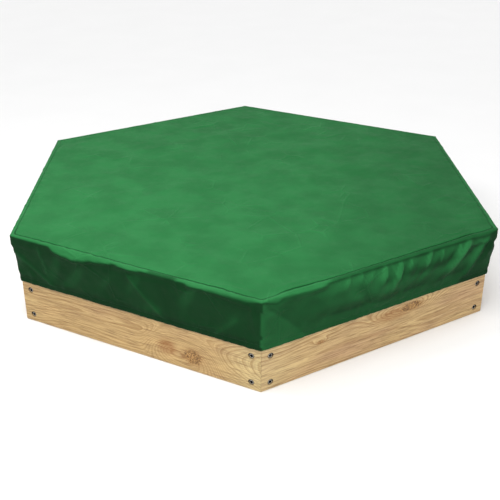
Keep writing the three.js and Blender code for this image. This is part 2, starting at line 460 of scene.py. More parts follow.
def paint_timber():
    for wall, name in enumerate(WALLS):
        angle = wall_angle(wall)
        for level, course in enumerate(("lower", "upper")):
            low = level * UPPER_BOARD_LIFT
            edges, sides = (low, low + BOARD_TOP), (WALL_INNER, WALL_APOTHEM)
            seed = 1 + wall + SIDES * level
            redness = 0.22 if wall in (FRONT_RIGHT, BACK_LEFT) else 0.04
            look = {"knots": drawn_knots(seed, *edges), "redness": redness, "bolted": True}
            if course == "lower":
                look.update(FRONT_LOOKS.get(wall, {}))
            board = timber(f"timber_{course}_{name}", angle, "YZX", seed, edges, sides, **look)
            paint(f"{course}_board_{name}", board)
        seed, edges, sides = 20 + wall, (SEAT_INNER, SEAT_APOTHEM), (SEAT_UNDERSIDE, SEAT_TOP)
        knots = drawn_knots(seed, *edges)
        paint(f"seat_{name}", timber(f"timber_seat_{name}", angle, "YXZ", seed, edges, sides, knots, 0.08))
    for corner, name in enumerate(CORNERS):
        angle = wall_angle(corner) - HALF_TURN
        paint(f"post_{name}", timber(f"timber_post_{name}", angle, "ZYX", 40 + corner))


# ---------------- fabric

TOP_GREEN = (0.0215, 0.150, 0.0440)
# the top's green, painted darker as shade where the fabric hangs steeply
SHADED_SKIRT_GREEN = (0.0036, 0.0280, 0.0078)
HEM_THREAD_GREEN = (0.003, 0.032, 0.010)
ELASTIC_GREEN = (0.008, 0.03, 0.014)
ELASTIC_FUZZ = (0.05, 0.09, 0.06)
THREAD_GREEN = (0.012, 0.10, 0.03)
DEEPER_TINT = (0.80, 0.84, 0.82)
CRUMPLE_HIGHLIGHT_TINT = (1.25, 1.10, 1.15)
ALLOWANCE_HIGHLIGHT_TINT = (1.45, 1.22, 1.32)
GROOVE_SHADE_TINT = (0.30, 0.40, 0.36)
WRINKLE_HIGHLIGHT_TINT = (1.10, 1.08, 1.09)
WEAVE_PITCH = 0.0009
ELASTIC_PITCH = 0.0016
SEAM = 0.0135  # in from the edge, where the top panel is sewn to the skirt


def fabric_material(name):
    """Coated woven polyester, with light and shade painted in. The attribute "shade" runs from 0, the top's
    green, to 1, the skirt's painted-shade green.
    """
    cloth = material_nodes(name)
    cut_x, cut_y, _ = cloth.split(cloth.add("UVMap", {}, uv_map="cut"))
    weave = cut_x.wave(WEAVE_PITCH) * cut_y.wave(WEAVE_PITCH)
    cloudy = cloth.noise(cloth.place, 9.0, 3.0, 0.55)
    crumple = cloth.noise(cloth.place, 38.0, 4.0, 0.62, 0.6)
    shade = cloth.add("Attribute", {}, "Fac", attribute_name="shade")
    # painted light and shade: the top's green where the fabric lies flat, the darker green where it hangs
    green = cloth.mix(shade, TOP_GREEN, SHADED_SKIRT_GREEN)
    green = cloth.tint(cloudy.scaled(0.33, 0.66), green, DEEPER_TINT)
    # painted highlight: lighter on the crests of the crumples that the bump raises
    green = cloth.tint(crumple.scaled(0.55, 0.8, 0.0, 0.5), green, CRUMPLE_HIGHLIGHT_TINT)

    # painted shade in the seam's dark groove, and a painted highlight on the pale ridge of the allowance
    # outside it, both clearest on the front
    from_seam = cloth.add("Attribute", {}, "Fac", attribute_name="reach") + SEAM
    clear = cloth.split(cloth.place)[1].scaled(-0.46, -0.38, 1.0, 0.25)
    groove = abs(from_seam).scaled(0.0009, 0.0030, 0.8, 0.0)
    ridge = abs(from_seam - 0.0058).scaled(0.0012, 0.0038, 0.65, 0.0)
    green = cloth.tint(ridge * clear, green, ALLOWANCE_HIGHLIGHT_TINT)
    green = cloth.tint(groove * clear, green, GROOVE_SHADE_TINT)

    # short straight wrinkles, in places, where the cloth was folded up to store it, with a painted highlight
    # along each
    cells = {"Vector": cloth.place, "Scale": 9.0, "Randomness": 1.0}
    apart = cloth.add("TexVoronoi", cells, feature="DISTANCE_TO_EDGE")
    here = cloth.noise(cloth.place, 5.3, 1.0).scaled(0.50, 0.62)
    wrinkle = apart.scaled(0.0, 0.060, 1.0, 0.0) * here
    green = cloth.tint(wrinkle, green, WRINKLE_HIGHLIGHT_TINT)

    normal = cloth.bump(crumple, 0.0016, 0.35)
    normal = cloth.bump(wrinkle, 0.0030, 0.5, Normal=normal)
    normal = cloth.bump(weave, 0.00008, 0.5, Normal=normal)
    roughness = crumple.scaled(0.25, 0.75, 0.46, 0.60)
    return cloth.surface(base_color=green, roughness=roughness, specular_ior_level=0.035, normal=normal)


def thread_material(name, green):
    thread = material_nodes(name)
    strands = thread.noise(thread.place, 900.0, 2.0)
    colour = thread.mix(strands, green, tuple(2.1 * c for c in green))
    return thread.surface(base_color=colour, roughness=0.6, normal=thread.bump(strands, 0.0002, 0.6))


def elastic_material():
    band = material_nodes("woven_elastic")
    ribs = band.split(band.place)[2].wave(ELASTIC_PITCH)
    colour = band.mix(ribs.scaled(-1.0, 1.0, 0.0, 0.7), ELASTIC_GREEN, tuple(2.5 * c for c in ELASTIC_GREEN))
    colour = band.mix(band.noise(band.place, 700.0, 2.0) * 0.3, colour, ELASTIC_FUZZ)
    return band.surface(base_color=colour, roughness=0.85, normal=band.bump(ribs, 0.0003, 0.8))


# The cover's fabric is a net of rings. Distances are along the fabric from the seat's outer edge.
PER_SIDE = 60  # steps along each side
AROUND = SIDES * PER_SIDE
FREE_TOP = [0.150, 0.130, 0.111, 0.093, 0.076, 0.060, 0.045, 0.032, 0.0215, 0.0135, 0.0065, 0.0]
DROPS = [0.0065, 0.014, 0.024, 0.036, 0.050, 0.065, 0.081, 0.097, 0.113, 0.129, 0.143, 0.1545, 0.163, 0.171]
HEM_ROWS = 3  # of the skirt, held by the elastic
HEM_TOP = DROPS[-HEM_ROWS]
# The hem turns under the elastic and up behind it: (in, up, along the fabric) from its lowest row.
HEM_TURNS = [
    (0.0012, -0.0016, 0.003),
    (0.0040, -0.0006, 0.006),
    (0.0050, 0.006, 0.013),
    (0.0050, 0.0145, 0.0215),
]
EDGE_CLEARANCE = 0.0025
FABRIC_LIFT = 0.002
EDGE_APOTHEM = SEAT_APOTHEM + EDGE_CLEARANCE
EDGE_SIDE = 2 * EDGE_APOTHEM * math.tan(HALF_TURN)
FABRIC_TOP = SEAT_TOP + FABRIC_LIFT
HEM_APOTHEM = WALL_APOTHEM + 0.0062
HEM_CENTRE_HEIGHT = BOARD_TOP + 0.0055
FLARE = 0.016  # how much wider the skirt is cut at its hem than at the seam, before the elastic draws it in
SAG = 0.006  # of the top's middle
FABRIC_THICKNESS = 0.0008

# Gathers sewn into the skirt: (wall, from, to, pitch, depth, slant), along the wall from its middle.
SEWN_GATHERS = [
    (FRONT_RIGHT, -0.02, 0.4, 0.052, 0.0085, 0.55),
    (FRONT_RIGHT, -0.24, -0.06, 0.085, 0.004, -0.3),
    (FRONT_LEFT, 0.1, 0.22, 0.04, 0.006, 0.3),
    (RIGHT, -0.3, 0.05, 0.06, 0.006, -0.5),
    (BACK_RIGHT, -0.1, 0.35, 0.07, 0.006, 0.4),
    (BACK_LEFT, -0.36, -0.02, 0.055, 0.007, -0.45),
    (LEFT, -0.05, 0.38, 0.064, 0.006, 0.5),
]


def panel_places(points):
    """For points on the skirt: which wall each is over, and how far it is along that wall from its middle."""
    angles = wall_angle(np.arange(SIDES))
    out = points[:, :2] @ np.stack([np.cos(angles), np.sin(angles)])
    wall = out.argmax(1)
    along = points[:, 1] * np.cos(angles[wall]) - points[:, 0] * np.sin(angles[wall])
    return wall, along


def apothem_over(points, wall):
    """How far out from the middle each point is, square to its wall."""
    return points[:, 0] * np.cos(wall_angle(wall)) + points[:, 1] * np.sin(wall_angle(wall))


def waves_round(harmonics, height, seed):
    """A smooth closed wave round the cover, one value for each step round it."""
    draw = np.random.default_rng(seed)
    turn = np.arange(AROUND) / AROUND * 2 * math.pi
    wave = sum(np.sin(h * turn + draw.uniform(0, 2 * math.pi)) * draw.uniform(0.5, 1) for h in harmonics)
    return wave / np.abs(wave).max() * height


def hem_lift():
    """How much higher or lower the hem lies than its middle height."""
    return waves_round(range(5, 30), 0.0022, 5)


def from_corner():
    """How far each step round the cover is from its nearest corner."""
    step = np.arange(AROUND)
    return ((step + PER_SIDE / 2) % PER_SIDE - PER_SIDE / 2) * EDGE_SIDE / PER_SIDE


def sewn_cover():
    """The cover's outer ring and skirt as they are sewn, before the elastic draws the hem in."""
    ring = hexagon_ring(PER_SIDE)
    rows = [level_ring(ring, EDGE_APOTHEM - inset, FABRIC_TOP) for inset in FREE_TOP]
    wall, along = panel_places(ring)
    along = along * EDGE_APOTHEM
    for drop in DROPS:
        apothem = np.full(AROUND, EDGE_APOTHEM + FLARE * drop / DROPS[-1])
        for at_wall, low, high, pitch, depth, slant in SEWN_GATHERS:
            phase = 2 * math.pi * (along + slant * drop + 0.006 * np.sin(60 * along)) / pitch
            shape = window(along, low, high, 0.05) * (wall == at_wall)
            fade = smooth_step(drop, 0.0, 0.02) * (1 - 0.85 * smooth_step(drop, 0.05, 0.14))
            apothem += depth * shape * fade * (0.5 + 0.5 * np.cos(phase))
        rows.append(level_ring(ring, apothem[:, None], FABRIC_TOP - drop))
    points = np.concatenate(rows)
    seeds = np.random.default_rng(7).normal(0, 0.0005, points.shape)
    seeds[:AROUND] = 0
    return points + seeds


def drawn_cover(sewn):
    """Where the held points go: the hem is drawn in against the boards, and shifts a little round them."""
    ring = hexagon_ring(PER_SIDE)
    tangent = np.roll(ring, -1, 0) - np.roll(ring, 1, 0)
    tangent /= np.linalg.norm(tangent, axis=1)[:, None]
    shear = waves_round(range(7, 27), 0.011, 3) * smooth_step(np.abs(from_corner()), 0.03, 0.11)
    lift = hem_lift()
    pucker = waves_round(range(30, 80), 0.0006, 9)
    held = sewn.copy()
    for row, drop in enumerate(DROPS, len(FREE_TOP)):
        share = min(1.0, drop / HEM_TOP)
        apothem = EDGE_APOTHEM + (HEM_APOTHEM - EDGE_APOTHEM) * share
        here = slice(row * AROUND, (row + 1) * AROUND)
        held[here, :2] = ring * (apothem + pucker[:, None] * share) + tangent * (shear * share)[:, None]
        held[here, 2] = HEM_CENTRE_HEIGHT + DROPS[-1] - drop + lift * share
    return held


def seat_block():
    """What the cover lies on, as one closed body for the simulation."""
    inner = SEAT_INNER - 0.05
    round_top, round_underside, foot = 0.006, 0.004, 0.05
    profile = [
        (inner, SEAT_TOP),
        (SEAT_APOTHEM - round_top, SEAT_TOP),
        (SEAT_APOTHEM - 0.0015, SEAT_TOP - 0.0015),
        (SEAT_APOTHEM, SEAT_TOP - round_top),
        (SEAT_APOTHEM, SEAT_UNDERSIDE + round_underside),
        (SEAT_APOTHEM - round_underside, SEAT_UNDERSIDE),
        (WALL_APOTHEM, SEAT_UNDERSIDE - 0.001),
        (WALL_APOTHEM, foot),
        (inner, foot),
    ]
    ring = hexagon_ring(12)
    points = np.concatenate([level_ring(ring, apothem, z) for apothem, z in profile])
    block = mesh_object("seat_block", points, band_faces(len(profile), len(ring), closed=True))
    block.modifiers.new("collision", "COLLISION")
    block.collision.thickness_outer = 0.001
    block.collision.cloth_friction = 12
    return block


SIM_FRAMES = 44
DRAWN_BY_FRAME = 22
FABRIC_SETTINGS = {
    **dict.fromkeys(["tension_stiffness", "compression_stiffness"], 25),
    **dict.fromkeys(["tension_damping", "compression_damping", "shear_damping"], 6),
    **{"shear_stiffness": 12, "bending_stiffness": 0.30, "bending_damping": 0.6, "air_damping": 2},
    **{"quality": 7, "mass": 0.15, "vertex_group_mass": "held", "pin_stiffness": 1},
}


def simulate_cover(sewn):
    """Draws the hem in and lets the skirt hang and buckle. Returns the fabric's points at rest."""
    rows = len(FREE_TOP) + len(DROPS)
    held = drawn_cover(sewn)
    net = mesh_object("cover_net", sewn, band_faces(rows, AROUND))
    net.shape_key_add(name="sewn")
    drawn = net.shape_key_add(name="drawn")
    drawn.data.foreach_set("co", held.astype(np.float32).ravel())
    for frame_number, value in ((1, 0.0), (DRAWN_BY_FRAME, 1.0)):
        drawn.value = value
        drawn.keyframe_insert("value", frame=frame_number)
    pins = net.vertex_groups.new(name="held")
    pins.add(list(range(AROUND)), 1.0, "REPLACE")
    pins.add(list(range((rows - HEM_ROWS) * AROUND, rows * AROUND)), 1.0, "REPLACE")

    block = seat_block()
    cloth = net.modifiers.new("cloth", "CLOTH")
    for name, value in FABRIC_SETTINGS.items():
        setattr(cloth.settings, name, value)
    cloth.collision_settings.distance_min = 0.0012
    cloth.collision_settings.collision_quality = 3
    cloth.point_cache.frame_start = 1
    cloth.point_cache.frame_end = SIM_FRAMES
    scene = bpy.context.scene
    for number in range(1, SIM_FRAMES + 1):
        scene.frame_set(number)
    points = positions(evaluated_mesh(net))
    scene.frame_set(1)
    for piece in (net, block):
        bpy.data.objects.remove(piece)
    return points


# How far each front wall's folds are calmed, along it: (wall, from, to, share).
CALM_PARTS = [(FRONT_LEFT, -0.5, 0.5, 0.78), (FRONT_RIGHT, -0.5, -0.1, 0.85), (FRONT_RIGHT, -0.1, 0.5, 0.25)]
CORNER_REACH = 0.055


def skirt_profile(drop):
    """The skirt's apothem where it hangs free of folds: down past the seat, then in to the hem."""
    beside_seat = FABRIC_TOP - SEAT_UNDERSIDE
    share = np.clip((drop - beside_seat) / (HEM_TOP - beside_seat), 0, 1)
    return EDGE_APOTHEM + 0.0006 + (HEM_APOTHEM - EDGE_APOTHEM - 0.0006) * share ** 1.25


def eased_skirt(settled):
    """Sets the corners square on the seats and taut down to the hem, and calms the smooth walls' folds."""
    rows = settled.reshape(-1, AROUND, 3).copy()
    unit = hexagon_ring(PER_SIDE)
    on_corner = bell(from_corner(), 0.045)[:, None]
    near_corner = bell(from_corner(), CORNER_REACH)
    at_corner = (np.round(np.arange(AROUND) / PER_SIDE).astype(int) % SIDES) * PER_SIDE
    calm = np.zeros(AROUND)
    wall, along = panel_places(unit)
    along *= EDGE_APOTHEM
    for at_wall, low, high, amount in CALM_PARTS:
        calm[(wall == at_wall) & (along >= low) & (along <= high)] = amount
    calm = np.convolve(np.r_[calm[-5:], calm, calm[:5]], np.ones(11) / 11, "valid")
    for row, inset in zip(rows, FREE_TOP):
        square = level_ring(unit, EDGE_APOTHEM - inset, FABRIC_TOP)
        row += on_corner * (1 - smooth_step(inset, 0.04, 0.12)) * (square - row)
    for number, drop in enumerate(DROPS[:-HEM_ROWS]):
        row = rows[len(FREE_TOP) + number]
        target = skirt_profile(drop)
        square = level_ring(unit, target, FABRIC_TOP - drop)
        row += on_corner * (1 - smooth_step(drop, 0.02, 0.05)) * (square - row)
        apothem = apothem_over(row, panel_places(row)[0])
        eased = apothem + np.maximum(calm, 0.8 * (1 - smooth_step(drop, 0.008, 0.022))) * (target - apothem)
        eased = eased + np.maximum(target - eased[at_corner], 0) * near_corner
        eased = softly_above(eased, HEM_APOTHEM + 0.0006 * (len(DROPS) - number), 0.001)
        row[:, :2] *= (eased / apothem)[:, None]
    return rows.reshape(-1, 3)


def cover_net():
    """The whole cover as one net: points, faces, each face's corners on the flat cut, and each point's
    distance from the edge, less than 0 on the top and more than 0 down the skirt."""
    settled = eased_skirt(simulate_cover(sewn_cover()))
    first_free = PER_SIDE - len(FREE_TOP) + 1
    flat, apothems = hexagon_lattice((EDGE_APOTHEM - FREE_TOP[0]) / first_free, first_free - 1)
    inner = np.c_[flat, FABRIC_TOP - SAG * (1 - np.clip(apothems / SEAT_INNER, 0, 1) ** 2) ** 2]

    # the free rings of the top have fewer points where they are nearer the middle
    settled_rows = settled.reshape(-1, AROUND, 3)
    free_rows = [resampled(settled_rows[row], first_free + row) for row in range(len(FREE_TOP))]
    skirt = settled[len(FREE_TOP) * AROUND:]
    unit, hem = hexagon_ring(PER_SIDE), settled_rows[-1]
    turned = [np.c_[hem[:, :2] - unit * inset, hem[:, 2] + rise] for inset, rise, _ in HEM_TURNS]
    points = np.concatenate([inner, *free_rows, skirt, *turned])
    row_reach = [0.0, *DROPS, *(DROPS[-1] + extra for _, _, extra in HEM_TURNS)]
    reach = [apothems - EDGE_APOTHEM]
    reach += [np.full(len(row), -inset) for row, inset in zip(free_rows, FREE_TOP)]
    reach.append(np.repeat(row_reach[1:], AROUND))

    faces = lattice_faces(PER_SIDE)
    cut = [[tuple(points[n, :2]) for n in face] for face in faces]
    faces += band_faces(len(row_reach), AROUND, first=1 + 3 * PER_SIDE * (PER_SIDE + 1) - AROUND)
    spacing = EDGE_SIDE / PER_SIDE
    for high, low in zip(row_reach, row_reach[1:]):
        for step in range(AROUND):
            left, right = step * spacing, (step + 1) * spacing
            cut.append([(left, -high), (left, -low), (right, -low), (right, -high)])
    return points, faces, cut, np.concatenate(reach)


def resampled(row, per_side):
    """A closed row of points, with per_side of them along each side."""
    at = np.arange(SIDES * per_side) / per_side * PER_SIDE
    low = np.floor(at).astype(int)
    share = (at - low)[:, None]
    return row[low % AROUND] * (1 - share) + row[(low + 1) % AROUND] * share


# Storage creases on the skirt: (wall, along, drop, along, drop, height, half width).
SKIRT_CREASES = [
    (FRONT_LEFT, -0.475, 0.042, -0.265, 0.18, 0.0032, 0.009),
    (FRONT_LEFT, -0.35, 0.01, -0.325, 0.12, 0.0018, 0.012),
    (FRONT_LEFT, -0.012, 0.014, 0.14, 0.178, 0.003, 0.008),
    (FRONT_LEFT, 0.385, 0.075, 0.278, 0.178, 0.003, 0.01),
    (FRONT_LEFT, -0.1, 0.12, 0.02, 0.165, -0.0014, 0.012),
    (FRONT_LEFT, -0.09, 0.03, 0.15, 0.012, -0.003, 0.009),
    (FRONT_RIGHT, -0.45, 0.01, -0.3, 0.16, -0.0026, 0.008),
    (FRONT_RIGHT, 0.43, 0.006, 0.33, 0.15, 0.0062, 0.012),
    (FRONT_RIGHT, 0.005, 0.0, 0.045, 0.075, 0.003, 0.01),
    (RIGHT, -0.2, 0.01, -0.05, 0.16, 0.0022, 0.009),
    (RIGHT, 0.25, 0.02, 0.39, 0.16, -0.0022, 0.009),
    (BACK_RIGHT, -0.4, 0.015, -0.26, 0.165, 0.0024, 0.01),
    (BACK_RIGHT, 0.15, 0.04, 0.05, 0.165, 0.0018, 0.008),
    (BACK_LEFT, -0.12, 0.015, 0.03, 0.165, 0.0024, 0.009),
    (BACK_LEFT, 0.3, 0.01, 0.42, 0.15, -0.0022, 0.009),
    (LEFT, -0.42, 0.01, -0.31, 0.16, 0.0024, 0.009),
    (LEFT, 0.02, 0.03, -0.11, 0.165, 0.002, 0.008),
]

# Gathers hanging from the edge: (wall, along, drop, along, drop, height, half width).
HANGING_GATHERS = [
    (FRONT_RIGHT, -0.15, -0.004, -0.172, 0.048, 0.0045, 0.012),
    (FRONT_RIGHT, -0.105, -0.004, -0.118, 0.04, 0.004, 0.01),
    (FRONT_RIGHT, -0.06, -0.002, -0.078, 0.045, 0.003, 0.009),
    (FRONT_RIGHT, -0.012, -0.004, -0.034, 0.075, 0.0055, 0.012),
    (FRONT_RIGHT, 0.048, -0.004, 0.006, 0.115, 0.0085, 0.014),
    (FRONT_RIGHT, 0.092, -0.002, 0.07, 0.05, 0.0034, 0.009),
    (FRONT_RIGHT, 0.172, -0.004, 0.14, 0.06, 0.0065, 0.013),
    (FRONT_RIGHT, 0.222, -0.002, 0.196, 0.07, 0.0034, 0.01),
    (FRONT_RIGHT, 0.345, -0.004, 0.235, 0.12, 0.0085, 0.019),
    (FRONT_RIGHT, 0.3, -0.002, 0.27, 0.06, 0.004, 0.009),
    (FRONT_LEFT, 0.15, -0.004, 0.156, 0.034, -0.0035, 0.007),
    (FRONT_LEFT, 0.176, -0.004, 0.186, 0.034, 0.005, 0.007),
    (FRONT_LEFT, 0.202, -0.004, 0.21, 0.028, -0.003, 0.006),
    (FRONT_LEFT, 0.43, 0.0, 0.432, 0.12, 0.0045, 0.01),
    (RIGHT, -0.21, -0.004, -0.235, 0.06, 0.005, 0.013),
    (RIGHT, 0.06, -0.004, 0.085, 0.08, 0.006, 0.015),
    (RIGHT, 0.33, -0.004, 0.3, 0.05, 0.004, 0.011),
    (BACK_RIGHT, -0.08, -0.004, -0.06, 0.07, 0.0055, 0.014),
    (BACK_RIGHT, 0.24, -0.004, 0.21, 0.055, 0.0045, 0.012),
    (BACK_LEFT, -0.3, -0.004, -0.27, 0.06, 0.005, 0.013),
    (BACK_LEFT, 0.11, -0.004, 0.085, 0.075, 0.0055, 0.014),
    (LEFT, -0.15, -0.004, -0.12, 0.065, 0.0055, 0.014),
    (LEFT, 0.21, -0.004, 0.235, 0.055, 0.0045, 0.012),
]

# Long folds on the top: (x, y, x, y, height, half width).
TOP_CREASES = [
    (0.0, -0.84, 0.2, -0.1, 0.002, 0.022),
    (0.2, -0.1, 0.34, 0.42, 0.0016, 0.028),
    (-0.03, -0.82, -0.26, -0.45, 0.0014, 0.02),
    (-0.62, -0.38, -0.2, 0.02, 0.0012, 0.03),
    (-0.2, 0.02, 0.1, 0.34, 0.001, 0.03),
    (0.4, -0.52, 0.52, 0.1, -0.0012, 0.026),
    (-0.45, 0.3, -0.05, 0.55, 0.0012, 0.026),
    (0.05, 0.72, 0.34, 0.5, -0.001, 0.024),
]

TOP_SHADE_LINE = (0.0, -0.85, 0.34, 0.43)  # right of it, the top is painted a deeper green, as shade
TOP_SHADE = 0.25  # how much deeper its green is painted there
CREASE_HIGHLIGHT = 0.16  # how much lighter the fabric is painted along a raised crease, a painted highlight
SHEEN_HIGHLIGHT = 0.13  # and in soft streaks on the skirt, as a painted sheen


def beside_line(points, x0, y0, x1, y1):
    """How far along a line each point is, from 0 to 1, and how far it is to the line's left."""
    way = np.array([x1 - x0, y1 - y0])
    length = np.linalg.norm(way)
    offset = points - (x0, y0)
    return offset @ way / length ** 2, offset @ np.array([-way[1], way[0]]) / length


def fold(points, line, height, half_width):
    """A ridge, or a furrow where height is less than 0, along a line in a plane."""
    along, across = beside_line(points, *line)
    apart = np.abs(across)
    body = np.exp(-((apart / half_width) ** 2) * 1.2) * 0.6 + np.clip(1 - apart / half_width, 0, 1) * 0.4
    return height * body * window(along, 0.12, 0.88, 0.14)


def gather(points, line, height, half_width):
    """A fold that is sharp at its start and dies away to its end."""
    along, across = beside_line(points, *line)
    width = half_width * (0.65 + 0.75 * np.clip(along, 0, 1.2))
    body = np.exp(-((across / width) ** 2) * 1.6)
    return height * body * smooth_step(along, -0.02, 0.22) * (1 - smooth_step(along, 0.35, 1.15))


# How far down the front left wall the slack lies, along it from its middle.
ROLL = [(-0.31, 0), (-0.275, 0.022), (-0.215, 0.040), (-0.15, 0.030), (-0.095, 0.016), (-0.045, 0.008),
        (0.0, 0.013), (0.045, 0.010), (0.075, 0)]


def loose_roll(wall, along, reach):
    """The slack that has slipped over the edge of the front walls and lies on the skirt as a soft ledge."""

    def ledge(full_from, ends_from, ends_at):
        return np.clip(reach / full_from, 0, 1) * (1 - smooth_step(reach, ends_from, ends_at))

    depth = np.maximum(np.interp(along, *zip(*ROLL)), 0.0001)
    depth *= 1 + 0.06 * np.sin(150 * along) + 0.08 * np.sin(67 * along + 1.0)
    height = 0.40 * depth * (wall == FRONT_LEFT) * ledge(0.42 * depth, 0.60 * depth, depth)
    right = (wall == FRONT_RIGHT) * smooth_step(along, -0.45, -0.27) * (1 - smooth_step(along, -0.26, -0.215))
    strip = (wall == FRONT_LEFT) * smooth_step(along, 0.19, 0.22) * (1 - smooth_step(along, 0.40, 0.44))
    return height + 0.0085 * right * ledge(0.005, 0.006, 0.024) + 0.0045 * strip * ledge(0.004, 0.008, 0.017)


def kept_clear(points, reach):
    """The points, pushed out of the seats and boards wherever the fabric's thickness would touch them."""
    gap, corner_gap, hidden_gap = FABRIC_THICKNESS + 0.0005, 0.0010, 0.0005
    points = points.copy()
    over_seat = (reach <= 0) & (reach > SEAT_INNER - 0.01 - EDGE_APOTHEM)
    points[:, 2] = np.where(over_seat, softly_above(points[:, 2], SEAT_TOP + gap, 0.0004), points[:, 2])
    wall, along = panel_places(points)
    apothem = apothem_over(points, wall)
    beside = smooth_step(points[:, 2], SEAT_UNDERSIDE - 0.016, SEAT_UNDERSIDE - 0.004)
    at_corner = smooth_step(np.abs(along) / (apothem * math.tan(HALF_TURN)), 0.96, 0.99)
    least = WALL_APOTHEM + (SEAT_APOTHEM - WALL_APOTHEM) * beside
    turned_up = reach > DROPS[-1] + 0.004
    least += np.where(turned_up, hidden_gap, gap + corner_gap * at_corner)
    points[:, :2] *= np.where(reach >= 0, np.maximum(least / apothem, 1), 1)[:, None]
    return points


def cover_shade(points, steep, reach, ridge_light, gathered):
    """Each point's painted shade, from 0, the top's green, to 1, the skirt's shaded green: painted light and
    shade by how steeply the fabric lies there, painted highlights along its raised creases and in sheen
    streaks, and how high the gathers raise it."""
    wall, along = panel_places(points)
    on_left, on_right = wall == FRONT_LEFT, wall == FRONT_RIGHT
    # painted light and shade: lighter where the fabric lies flat and faces up, darker where it hangs steeply
    # and at the hem
    light = smooth_step(steep, 0.10, 0.78) * (1 - 0.85 * smooth_step(reach, 0.115, 0.145))
    # painted shade: just past the seam, parts of both front walls are painted darker
    past_seam = 0.45 * on_right * window(along, -0.20, 0.47, 0.04)
    past_seam += 0.60 * on_left * window(along, 0.085, 0.165, 0.02)
    light *= 1 - past_seam * smooth_step(reach, 0.001 - SEAM, 0.005 - SEAM)
    # painted shade: right of a line across the top, its green is painted deeper
    right_shade = smooth_step(-beside_line(points[:, :2], *TOP_SHADE_LINE)[1], -0.06, 0.50)
    light -= TOP_SHADE * right_shade * (1 - smooth_step(reach, -0.012, 0.0))

    # painted light: the front right wall is painted the lighter one, less past the crease near its front
    # corner, with painted highlights down the corner and on its ridges, and painted shade in the valleys and
    # towards the hem
    bright_wall = on_right * window(along + 0.67 * reach, -0.452, 0.42, 0.02)
    bright_wall = bright_wall * smooth_step(reach, -0.002, 0.012)
    beside_crease = smooth_step(along + 0.462 - reach, -0.007, 0.007)
    near_front = 1 - smooth_step(along, -0.36, -0.15)
    ridge = smooth_step(gathered, 0.0008, 0.0045)
    valley = window(along, 0.0, 0.34, 0.05) * window(reach, -0.004, 0.050, 0.03) * (1 - ridge)
    tone = 0.51 - near_front * (0.10 + 0.14 * beside_crease) + 0.08 * (1 - smooth_step(along, -0.450, -0.438))
    above_hem = 1 - smooth_step(reach, 0.12, 0.14)
    tone += 1.15 * np.clip(steep, -0.25, 0.35) * (1 - 0.75 * near_front) * above_hem
    tone += 0.40 * ridge - 0.30 * valley - 0.25 * smooth_step(reach, 0.085, 0.14) * (1 - near_front)

    # painted shade at the hem: all above it is painted a little lighter
    lighter_above_hem = 0.06 * (1 - smooth_step(reach, 0.135, 0.150))
    # painted sheen: soft lighter streaks on the skirt
    sheen_streaks = ripples(np.c_[along + 0.75 * reach, 0.45 * reach, 0.9 * wall], 0.075, 51)
    sheen = smooth_step(sheen_streaks, 0.3, 2.2) * window(reach, 0.012, 0.125, 0.03)
    lightest = functools.reduce(np.maximum, (light, bright_wall * tone, lighter_above_hem))
    return 1 - lightest - CREASE_HIGHLIGHT * ridge_light - SHEEN_HIGHLIGHT * sheen


def shape_cover(data, reach):
    """Adds what is too fine for the simulation. Returns each point's painted shade."""
    points, normals = positions(data), positions(data, "normal")
    wall, along = panel_places(points)
    panel = np.c_[along, reach]

    # the top's slow swells and long folds
    on_top = 1 - smooth_step(reach, -0.012, 0.0)
    swell = 0.0012 * ripples(points, 0.30, 11) + 0.0007 * ripples(points, 0.13, 12)
    swell += 0.0003 * ripples(points, 0.062, 13)
    height = (swell * (0.30 + 0.70 * smooth_step(-reach, 0.02, 0.16)) + 0.0004) * on_top
    for *line, rise, half_width in TOP_CREASES:
        height += fold(points[:, :2], line, rise, half_width) * on_top

    # the skirt's creases and gathers, a broad billow on its front right wall, and its softened corners
    on_skirt = window(reach, 0.010, 0.150, 0.012)
    height += on_skirt * (0.0006 * ripples(points, 0.11, 21) + 0.0003 * ripples(points, 0.05, 22))
    ridge_light, gathered = np.zeros(len(points)), np.zeros(len(points))
    for at_wall, *line, rise, half_width in SKIRT_CREASES:
        here = (wall == at_wall) * on_skirt
        height += fold(panel, line, rise, half_width) * here
        # painted highlight along the ridge of each raised crease
        ridge_light = np.maximum(ridge_light, fold(panel, line, 1.0, 0.0055) * here * (rise > 0))
    for at_wall, *line, rise, half_width in HANGING_GATHERS:
        here = gather(panel, line, rise, half_width) * (wall == at_wall)
        gathered = np.maximum(gathered, here)
        height += here
    billow = window(along, -0.18, 0.30, 0.16) * (wall == FRONT_RIGHT)
    height += 0.006 * billow * window(reach, 0.045, 0.085, 0.045)
    corner = bell(EDGE_SIDE / 2 - np.abs(along), 0.011)
    height -= 0.0030 * corner * window(reach, 0.045, HEM_TOP - 0.004, 0.012)

    # the seam: a stitched line, a thicker allowance outside it, and small puckers along it
    marked = np.where((wall == FRONT_LEFT) | (wall == FRONT_RIGHT), 1.0, 0.6)
    allowance = window(reach, -SEAM + 0.003, 0.004, 0.004)
    height += marked * (0.0007 * allowance - 0.0012 * bell(reach + SEAM, 0.0032))
    height += 0.0005 * ripples(np.c_[along, wall * 3.7], 0.036, 31) * bell(reach + SEAM, 0.016)
    height += loose_roll(wall, along, reach)

    # the stitched top of the hem channel, and gathers along it
    gathers = ripples(np.c_[along, wall * 2.9], 0.030, 41)
    height -= 0.0005 * bell(reach - HEM_TOP, 0.004)
    channel = window(reach, HEM_TOP + 0.003, DROPS[-1] + 0.001, 0.003)
    height += channel * (0.0006 + 0.0005 * np.maximum(gathers, -1))
    height += 0.0006 * gathers * window(reach, HEM_TOP - 0.03, HEM_TOP, 0.012)

    moved = kept_clear(points + normals * height[:, None], reach)
    data.vertices.foreach_set("co", moved.astype(np.float32).ravel())
    data.update()
    return cover_shade(points, positions(data, "normal")[:, 2], reach, ridge_light, gathered)


